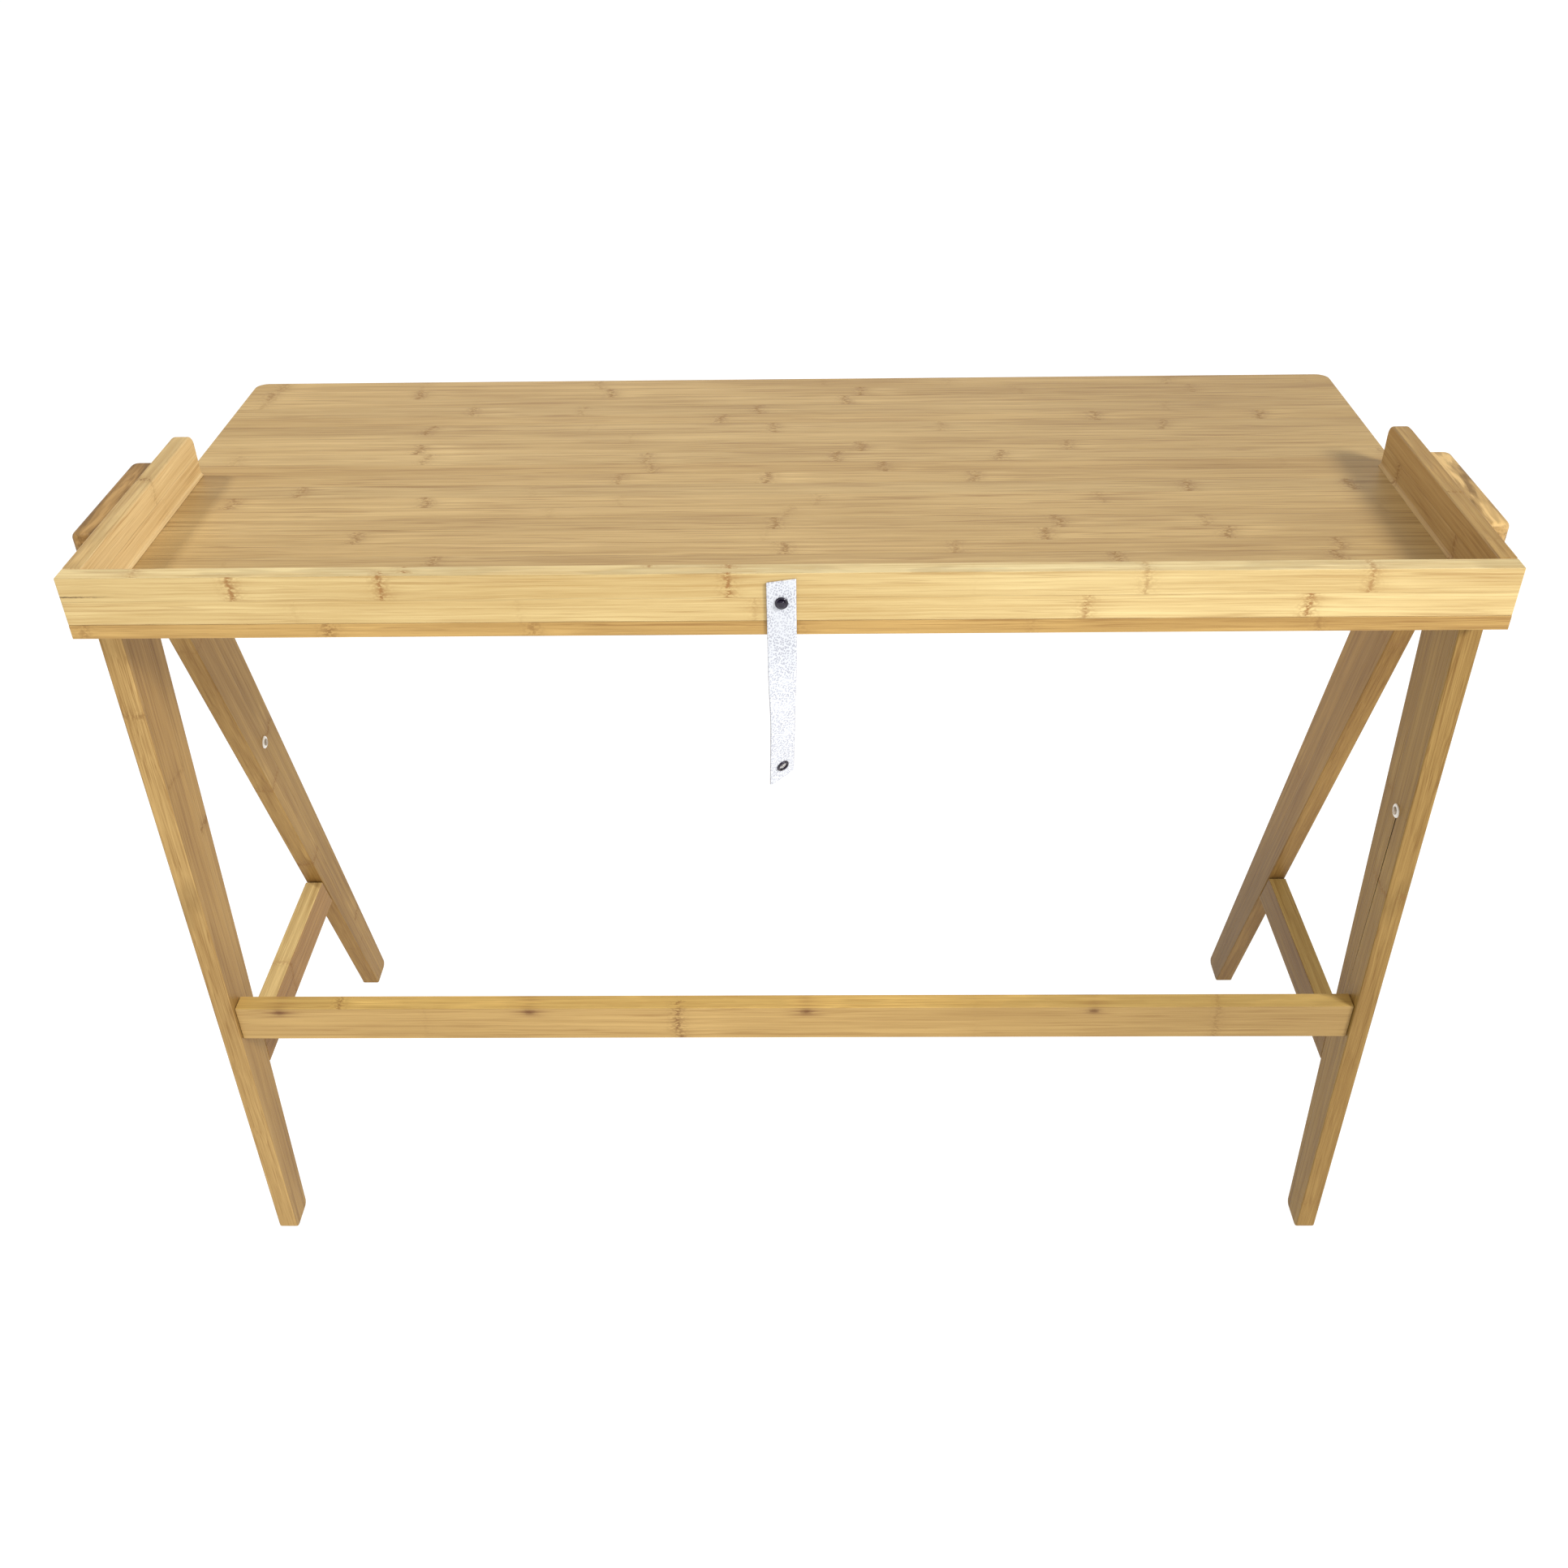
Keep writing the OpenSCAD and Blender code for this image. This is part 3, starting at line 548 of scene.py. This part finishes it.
def ease_edges(obj, width):
    """Rounds a board's edges with modifiers only, so the mesh itself stays as packed."""
    weld = obj.modifiers.new("weld", "WELD")
    weld.merge_threshold = 0.00002
    flat = obj.modifiers.new("flat", "DECIMATE")
    flat.decimate_type = "DISSOLVE"
    flat.angle_limit = math.radians(1)
    bevel = obj.modifiers.new("ease", "BEVEL")
    bevel.width = width
    bevel.segments = 3
    bevel.limit_method = "ANGLE"
    bevel.angle_limit = math.radians(40)
    bevel.use_clamp_overlap = False
    normals = obj.modifiers.new("normals", "WEIGHTED_NORMAL")
    normals.keep_sharp = False
    normals.weight = 80


for material, names in FINISH.items():
    for name in names:
        obj = NODES[name]
        obj.data.materials.clear()
        obj.data.materials.append(material)
        if name in EASED:
            ease_edges(obj, EASED[name])

# ---------------------------------------------------------------- pieces


def link(obj):
    bpy.context.scene.collection.objects.link(obj)
    return obj


def finished_mesh(name, bm):
    """The mesh of a bmesh, with its faces turned outwards."""
    bmesh.ops.recalc_face_normals(bm, faces=bm.faces)
    mesh = bpy.data.meshes.new(name)
    bm.to_mesh(mesh)
    bm.free()
    return mesh


def smoothed(mesh):
    for polygon in mesh.polygons:
        polygon.use_smooth = True
    return mesh


def add_piece(name, mesh, material, body, node):
    obj = link(bpy.data.objects.new(name, mesh))
    obj.data.materials.append(material)
    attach(obj, body)
    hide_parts(node)
    return obj


# ---------------------------------------------------------------- grips

GRIP_CORNER = 0.007  # plan rounding of the two outer corners
GRIP_EDGE = 0.0048  # rounding of all edges but those on the rail
DOWEL_RADIUS = 0.004
BORE_RADIUS = 0.00405
BORE_PAST_RAIL, BORE_PAST_DOWEL = 0.002, 0.0001


def grip_outline(width, length, inset, steps=8):
    """Plan of a grip bar from the rail outwards, drawn in from its three free sides."""
    radius = GRIP_CORNER - inset
    points = [(0.0, length - inset), (0.0, inset)]
    for middle, first in ((GRIP_CORNER, -90), (length - GRIP_CORNER, 0)):
        for k in range(steps + 1):
            a = math.radians(first + 90 * k / steps)
            points.append((width - GRIP_CORNER + radius * math.cos(a), middle + radius * math.sin(a)))
    return points


def loft(bm, rings):
    """Closed solid through rings of vertices, with a flat face at each end."""
    for one, two in zip(rings, rings[1:]):
        for k in range(len(one)):
            n = (k + 1) % len(one)
            bm.faces.new((one[k], one[n], two[n], two[k]))
    bm.faces.new(rings[0])
    bm.faces.new(rings[-1])


def bore(y, z, x_from, x_to, segments=32):
    """Closed cylinder along X, to cut a dowel bore."""
    bm = bmesh.new()
    angles = [2 * math.pi * k / segments for k in range(segments)]
    circle = [(y + BORE_RADIUS * math.cos(a), z + BORE_RADIUS * math.sin(a)) for a in angles]
    loft(bm, [[bm.verts.new((x, *point)) for point in circle] for x in (x_from, x_to)])
    return link(bpy.data.objects.new("bore", finished_mesh("bore", bm)))


def grip_mesh(node, steps=6):
    """The grip bar in its CAD box, its free edges rounded over, with the two blind dowel bores."""
    low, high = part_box(node)
    outward = 1 if high.x > 0 else -1
    rail_side = low.x if outward > 0 else high.x
    width, length, height = high.x - low.x, high.y - low.y, high.z - low.z
    angles = [math.radians(90 * k / steps) for k in range(steps + 1)]
    levels = [(GRIP_EDGE * (1 - math.sin(a)), GRIP_EDGE * (1 - math.cos(a))) for a in angles]
    levels += [(inset, height - rise) for inset, rise in reversed(levels)]
    bm = bmesh.new()
    rings = []
    for inset, rise in levels:
        plan = grip_outline(width, length, inset)
        rings.append([bm.verts.new((rail_side + outward * x, low.y + y, low.z + rise)) for x, y in plan])
    loft(bm, rings)
    body = link(bpy.data.objects.new("grip", finished_mesh("grip", bm)))

    dowel_low, dowel_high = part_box("grip_dowels")
    middle = (dowel_low.z + dowel_high.z) / 2
    reach = dowel_high.x + BORE_PAST_DOWEL
    cutters = []
    for y in (dowel_low.y + DOWEL_RADIUS, dowel_high.y - DOWEL_RADIUS):
        cutters.append(bore(y, middle, rail_side - outward * BORE_PAST_RAIL, outward * reach))
        cut = body.modifiers.new("bore", "BOOLEAN")
        cut.operation = "DIFFERENCE"
        cut.solver = "EXACT"
        cut.object = cutters[-1]
    bpy.context.view_layer.update()
    done = bpy.data.meshes.new_from_object(body.evaluated_get(bpy.context.evaluated_depsgraph_get()))
    for helper in [body, *cutters]:
        old = helper.data
        bpy.data.objects.remove(helper)
        bpy.data.meshes.remove(old)
    done.name = node.replace("_bar", "_rounded")
    smoothed(done).set_sharp_from_angle(angle=math.radians(35))
    return done


for side in STAND_SIDE_SHADE:
    grip = f"{side}_grip_bar"
    add_piece(f"{side}_grip_rounded", grip_mesh(grip), sided[side]["grip"], "tray", grip)

# ---------------------------------------------------------------- strap

STRAP_WIDTH = 0.0206
STRAP_LENGTH = 0.1833
STRAP_THICK = 0.0016
STRAP_TURN = math.radians(33)  # about its length, below the rim
STRAP_CURL = math.radians(17)  # to the rear, at its end
RIM_GAP = 0.0002  # between the rim and the strap's back
ABOVE_PLATE = 0.0012  # how far the oblique upper end rises over the CAD plate
UPPER_SLANT, TIP_SLANT, TIP_SHORT = 0.0014, 0.0030, 0.0022
SOCKET_AT = 0.1656  # along the strap from its upper end to the snap socket's middle


def smooth(t):
    t = min(1.0, max(0.0, t))
    return t * t * (3 - 2 * t)


def strap_frames(steps=240):
    """Middle line of the strap from its upper end down: point, width direction, face normal and direction, at
    even steps. It lies flat on the rim, then hangs free, turning about its length, and curls to the rear."""
    low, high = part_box("strap")
    rim_face, rim_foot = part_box("back_rim")[0].y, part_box("tabletop_panel")[0].z
    place = Vector(((low.x + high.x) / 2, rim_face - RIM_GAP - STRAP_THICK / 2, high.z + ABOVE_PLATE))
    frames = []
    for _ in range(steps + 1):
        free = max(0.0, rim_foot - place.z)
        twist = STRAP_TURN * smooth(free / 0.075)
        curl = STRAP_CURL * smooth((free - 0.045) / 0.06)
        drift = -0.006 * smooth(free / 0.01) - 0.022 * smooth((free - 0.06) / 0.03)
        along = Vector((drift, math.sin(curl), -math.cos(curl))).normalized()
        across = Vector((math.cos(twist), math.sin(twist), 0.0))
        across = (across - across.dot(along) * along).normalized()
        frames.append((place.copy(), across, across.cross(along).normalized(), along))
        place = place + along * (STRAP_LENGTH / steps)
    return frames


STRAP = strap_frames()


def strap_point(length):
    """Frame at a length from the strap's upper end."""
    position = min(max(length / STRAP_LENGTH, 0.0), 1.0) * (len(STRAP) - 1)
    index = min(int(position), len(STRAP) - 2)
    return tuple(a.lerp(b, position - index) for a, b in zip(STRAP[index], STRAP[index + 1]))


def strap_mesh(rows=110, columns=14):
    """The strap's sheet, cut slantwise at both ends."""
    bm = bmesh.new()
    grid = []
    for i in range(rows + 1):
        row = []
        for j in range(columns + 1):
            s = 2 * j / columns - 1
            start = UPPER_SLANT * (1 - s)
            end = STRAP_LENGTH - TIP_SHORT - TIP_SLANT * s
            point, across, _, _ = strap_point(start + (end - start) * i / rows)
            row.append(bm.verts.new(point + across * (s * STRAP_WIDTH / 2)))
        grid.append(row)
    for i in range(rows):
        for j in range(columns):
            bm.faces.new((grid[i][j], grid[i][j + 1], grid[i + 1][j + 1], grid[i + 1][j]))
    return smoothed(finished_mesh("strap_sheet", bm))


def turned_mesh(name, profiles, length, segments=56):
    """Solids of revolution about the strap's normal at a length along it. Profiles are closed lists of
    (radius, height in front of the strap's middle)."""
    point, across, face, along = strap_point(length)
    toward = face if face.y < 0 else -face
    bm = bmesh.new()
    for profile in profiles:
        rings = []
        for k in range(segments):
            a = 2 * math.pi * k / segments
            radial = across * math.cos(a) + along * math.sin(a)
            rings.append([bm.verts.new(point + radial * r + toward * h) for r, h in profile])
        for k in range(segments):
            one, two = rings[k], rings[(k + 1) % segments]
            for m in range(len(profile)):
                n = (m + 1) % len(profile)
                bm.faces.new((one[m], one[n], two[n], two[m]))
    bmesh.ops.remove_doubles(bm, verts=bm.verts, dist=0.000001)
    bmesh.ops.dissolve_degenerate(bm, edges=bm.edges, dist=0.0000005)
    return smoothed(finished_mesh(name, bm))


def round_profile(points, radius, steps=4):
    """The closed profile with its corners cut round."""
    result = []
    for k, point in enumerate(points):
        here = Vector(point)
        before, after = Vector(points[k - 1]), Vector(points[(k + 1) % len(points)])
        reach = min(radius, (before - here).length * 0.45, (after - here).length * 0.45)
        a, b = here + (before - here).normalized() * reach, here + (after - here).normalized() * reach
        for m in range(steps + 1):
            t = m / steps
            result.append(tuple((1 - t) ** 2 * a + 2 * t * (1 - t) * here + t * t * b))
    return result


def block_profile(inner, outer, low, high):
    return [(inner, low), (outer, low), (outer, high), (inner, high)]


strap = add_piece("strap_sheet", strap_mesh(), white, "tray", "strap")
thick = strap.modifiers.new("thickness", "SOLIDIFY")
thick.thickness = STRAP_THICK
thick.offset = 0.0
round_edge = strap.modifiers.new("round", "BEVEL")
round_edge.width = 0.0005
round_edge.segments = 2
round_edge.limit_method = "ANGLE"
round_edge.angle_limit = math.radians(50)

# The snap's parts: radii, and heights from the strap's skin
SKIN = STRAP_THICK / 2
SNAP_RADIUS = 0.0050
SEAT_LOW, SEAT_HIGH, SPRING_HIGH = SKIN + 0.0001, SKIN + 0.0005, SKIN + 0.0009
RING_TOP, CAP_TOP = SKIN + 0.0015, -SKIN - 0.0016
ring_points = [
    (0.0030, SKIN), (SNAP_RADIUS, SKIN), (SNAP_RADIUS, SKIN + 0.0009), (0.0042, RING_TOP), (0.0033, RING_TOP),
]  # fmt: skip
cap_points = [
    (0.0019, -SKIN), (SNAP_RADIUS, -SKIN), (SNAP_RADIUS, -SKIN - 0.0006), (0.0036, -SKIN - 0.0014),
    (0.0, CAP_TOP), (0.0, -SKIN),
]  # fmt: skip
ring = round_profile(ring_points, 0.0004)
cap = round_profile(cap_points, 0.0003)
seat = round_profile(block_profile(0.0, 0.0029, SEAT_LOW, SEAT_HIGH), 0.0001)
spring = round_profile(block_profile(0.0009, 0.0015, SEAT_HIGH, SPRING_HIGH), 0.0001)
ring_mesh = turned_mesh("snap_ring", [ring], SOCKET_AT)
add_piece("snap_ring", ring_mesh, black, "tray", "snap_socket")
cap_mesh = turned_mesh("snap_cap_dome", [cap, seat, spring], SOCKET_AT)
add_piece("snap_cap_dome", cap_mesh, nickel, "tray", "snap_cap")

# ---------------------------------------------------------------- stage

FLOOR_HALF = 30.0
WHITE = (1.0, 1.0, 1.0, 1.0)
CENTRE = (0.0, 0.0, 0.55)
LIGHTS = {  # place, target, size, watts
    "key": ((2.4, -1.9, 2.7), CENTRE, (0.9, 0.8), 90),
    "above": ((0.0, -0.7, 3.0), CENTRE, (1.2, 1.0), 7),
    "left": ((-1.5, 0.1, 2.0), CENTRE, (0.26, 0.26), 12),
    "back": ((0.2, 3.0, 2.3), (0.0, 0.0, 0.7), (3.2, 1.0), 12),
}

floor_mesh = bpy.data.meshes.new("floor")
floor_mesh.from_pydata(
    [(FLOOR_HALF * x, FLOOR_HALF * y, 0) for x, y in ((-1, -1), (1, -1), (1, 1), (-1, 1))], [], [(0, 1, 2, 3)]
)
floor = link(bpy.data.objects.new("floor", floor_mesh))
f = Graph("floor_white")
speck = f.noise(f.place, scale=3.0, detail=3.0)
f.surface(
    Base_Color=f.ramp(speck, [(0.3, (0.20, 0.20, 0.20)), (0.7, (0.24, 0.24, 0.24))]),
    Roughness=0.9,
    Specular_IOR_Level=0.0,
    Emission_Color=WHITE,
    Emission_Strength=0.95,
)
floor.data.materials.append(f.mat)

for name, (place, target, size, watts) in LIGHTS.items():
    data = bpy.data.lights.new(name, "AREA")
    data.shape = "RECTANGLE"
    data.size, data.size_y = size
    data.energy = watts
    light = link(bpy.data.objects.new(name, data))
    light.location = place
    light.rotation_euler = (Vector(target) - Vector(place)).to_track_quat("-Z", "Y").to_euler()

# white near the horizon, grey above
world = bpy.data.worlds.new("studio")
world.use_nodes = True
sky = world.node_tree
height = sky.nodes.new("ShaderNodeSeparateXYZ")
sky.links.new(sky.nodes.new("ShaderNodeTexCoord").outputs["Generated"], height.inputs[0])
fade = sky.nodes.new("ShaderNodeValToRGB")
sky_stops = ((0.05, WHITE), (0.4, (0.32, 0.32, 0.325, 1.0)))
for element, (position, colour) in zip(fade.color_ramp.elements, sky_stops):
    element.position, element.color = position, colour
sky.links.new(height.outputs["Z"], fade.inputs["Fac"])
sky.links.new(fade.outputs["Color"], sky.nodes["Background"].inputs["Color"])
sky.nodes["Background"].inputs["Strength"].default_value = 1.0
bpy.context.scene.world = world
bpy.context.scene.view_settings.view_transform = "Standard"

# ---------------------------------------------------------------- camera

EYE = (0.0154, -1.1417, 1.2148)
PITCH, ROLL, YAW = (math.radians(a) for a in (35.27, -0.955, -1.142))

camera_data = bpy.data.cameras.new("camera")
camera_data.sensor_width = 36.0
camera_data.lens = 34.876
camera_data.shift_x, camera_data.shift_y = 0.00067, -0.0108
camera_data.clip_start, camera_data.clip_end = 0.05, 120.0
camera = link(bpy.data.objects.new("camera", camera_data))
ahead = Vector((math.sin(YAW) * math.cos(PITCH), math.cos(YAW) * math.cos(PITCH), -math.sin(PITCH)))
level = Vector((math.cos(YAW), -math.sin(YAW), 0.0))
upright = level.cross(ahead)
right = math.cos(ROLL) * level + math.sin(ROLL) * upright
up = -math.sin(ROLL) * level + math.cos(ROLL) * upright
camera.rotation_mode = "QUATERNION"
camera.rotation_quaternion = Matrix((right, up, -ahead)).transposed().to_quaternion()
camera.location = EYE
bpy.context.scene.camera = camera
